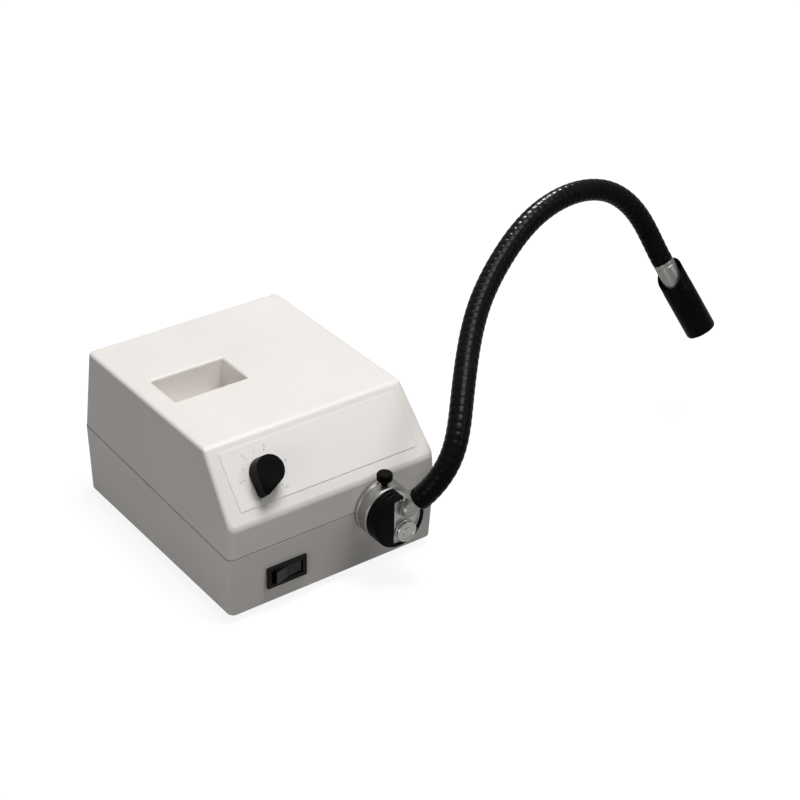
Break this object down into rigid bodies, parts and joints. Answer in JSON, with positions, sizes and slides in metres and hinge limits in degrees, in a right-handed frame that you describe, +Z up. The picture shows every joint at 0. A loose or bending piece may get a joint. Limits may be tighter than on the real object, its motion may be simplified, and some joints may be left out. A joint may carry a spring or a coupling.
{
  "type": "fiber optic illuminator",
  "caption": "Bench lamp house with a sloping control panel, feeding a ribbed gooseneck light guide that ends in a focusing lens barrel.",
  "frame": {"origin": "on the bench, under the middle of the lamp house", "axes": "+Z up, -Y the front with the light port and the switch, +X to the right as seen from the front"},
  "size_m": [0.4746, 0.2553, 0.218],
  "materials": {
    "shell_plastic": "moulded with a fine matt texture",
    "panel_film": "smooth printed film, left blank",
    "foot_rubber": "plain moulded rubber",
    "black_plastic": "moulded black, slightly grained",
    "black_gloss": "smooth black",
    "black_metal": "black anodised and satin",
    "dark_metal": "dark grey anodised",
    "turned_aluminium": "turned, fine circular marks",
    "bright_steel": "bright zinc plate",
    "brass_metal": "plain brass",
    "clear_glass": "polished",
    "lamp_glass": "polished, thin coating",
    "glass_fibre": "bundled fibres",
    "ceramic": null,
    "core_iron": "laminated core",
    "copper_wire": "enamelled winding",
    "circuit_board": "green laminate"
  },
  "bodies": {
    "housing": {"base_shell": "shell_plastic", "top_cover": "shell_plastic", "rubber_feet": "foot_rubber", "foot_screws": "bright_steel", "cover_screws": "bright_steel", "panel_overlay": "panel_film", "pot_body": "bright_steel", "pot_nut": "bright_steel", "rocker_frame": "black_plastic", "switch_terminals": "brass_metal", "port_collar": "turned_aluminium", "collar_nut": "bright_steel", "rear_panel": "turned_aluminium", "panel_screws": "bright_steel", "fan_frame": "black_plastic", "fan_grille": "bright_steel", "fan_screws": "bright_steel", "mains_inlet": "black_plastic", "inlet_pins": "brass_metal", "lamp_bracket": "bright_steel", "halogen_lamp": "lamp_glass", "lamp_socket": "ceramic", "heat_filter": "lamp_glass", "filter_ring": "turned_aluminium", "transformer_core": "core_iron", "transformer_coil": "copper_wire", "control_board": "circuit_board"},
    "knob": {"control_knob": "black_plastic", "pot_shaft": "brass_metal"},
    "rocker": {"power_rocker": "black_gloss"},
    "clamp_screw": {"thumbscrew": "black_metal"},
    "fan": {"fan_rotor": "black_plastic"},
    "fuse_holder": {"fuse_drawer": "black_plastic", "fuse": "clear_glass"},
    "guide": {"adapter_cap": "black_metal", "adapter_body": "turned_aluminium", "guide_ferrule": "turned_aluminium", "port_plug": "bright_steel", "neck_1": "black_metal", "neck_ball_1": "turned_aluminium", "fibres_1": "glass_fibre"},
    "section_2": {"neck_2": "black_metal", "neck_ball_2": "turned_aluminium", "fibres_2": "glass_fibre"},
    "section_3": {"neck_3": "black_metal", "neck_ball_3": "turned_aluminium", "fibres_3": "glass_fibre"},
    "section_4": {"neck_4": "black_metal", "neck_ball_4": "turned_aluminium", "fibres_4": "glass_fibre"},
    "section_5": {"neck_5": "black_metal", "end_ferrule": "turned_aluminium", "fibres_5": "glass_fibre"},
    "lens": {"lens_barrel": "black_metal", "barrel_guide": "black_plastic", "condenser_lens": "clear_glass", "lens_ring": "dark_metal"}
  },
  "joints": [
    {"name": "knob_turn", "type": "hinge", "parent": "housing", "child": "knob", "pos_m": [-0.0471, -0.08154, 0.10132], "axis": [0, 0.762, -0.6475], "range_deg": [0, 290]},
    {"name": "rocker_tilt", "type": "hinge", "parent": "housing", "child": "rocker", "pos_m": [-0.0421, -0.098, 0.0282], "axis": [0, 0, -1], "range_deg": [0, 20]},
    {"name": "clamp_screw_turn", "type": "hinge", "parent": "housing", "child": "clamp_screw", "pos_m": [0.0364, -0.1092, 0.0545], "axis": [0, 0, 1], "range_deg": [0, 360]},
    {"name": "fan_spin", "type": "hinge", "parent": "housing", "child": "fan", "pos_m": [0.033, 0.083, 0.062], "axis": [0, 1, 0], "continuous": true},
    {"name": "fuse_slide", "type": "slide", "parent": "housing", "child": "fuse_holder", "axis": [0, 1, 0], "range_m": [0, 0.016]},
    {"name": "guide_swivel", "type": "hinge", "parent": "housing", "child": "guide", "pos_m": [0.0364, -0.1162, 0.0545], "axis": [0, -1, 0], "range_deg": [-10, 60]},
    {"name": "goose_bend_1", "type": "hinge", "parent": "guide", "child": "section_2", "pos_m": [0.09333, -0.12167, 0.129], "axis": [-0.3151, 0.7498, -0.5819], "range_deg": [-18, 18]},
    {"name": "goose_bend_2", "type": "hinge", "parent": "section_2", "child": "section_3", "pos_m": [0.151, -0.06733, 0.16717], "axis": [-0.279, 0.8123, -0.5121], "range_deg": [-18, 18]},
    {"name": "goose_bend_3", "type": "hinge", "parent": "section_3", "child": "section_4", "pos_m": [0.22483, -0.03517, 0.20233], "axis": [-0.0787, 0.9056, -0.4167], "range_deg": [-18, 18]},
    {"name": "goose_bend_4", "type": "hinge", "parent": "section_4", "child": "section_5", "pos_m": [0.30783, -0.03, 0.20117], "axis": [-0.1341, 0.8803, -0.455], "range_deg": [-18, 18]},
    {"name": "lens_focus", "type": "slide", "parent": "section_5", "child": "lens", "axis": [0.3162, -0.4567, -0.8315], "range_m": [-0.004, 0.008]}
  ]
}
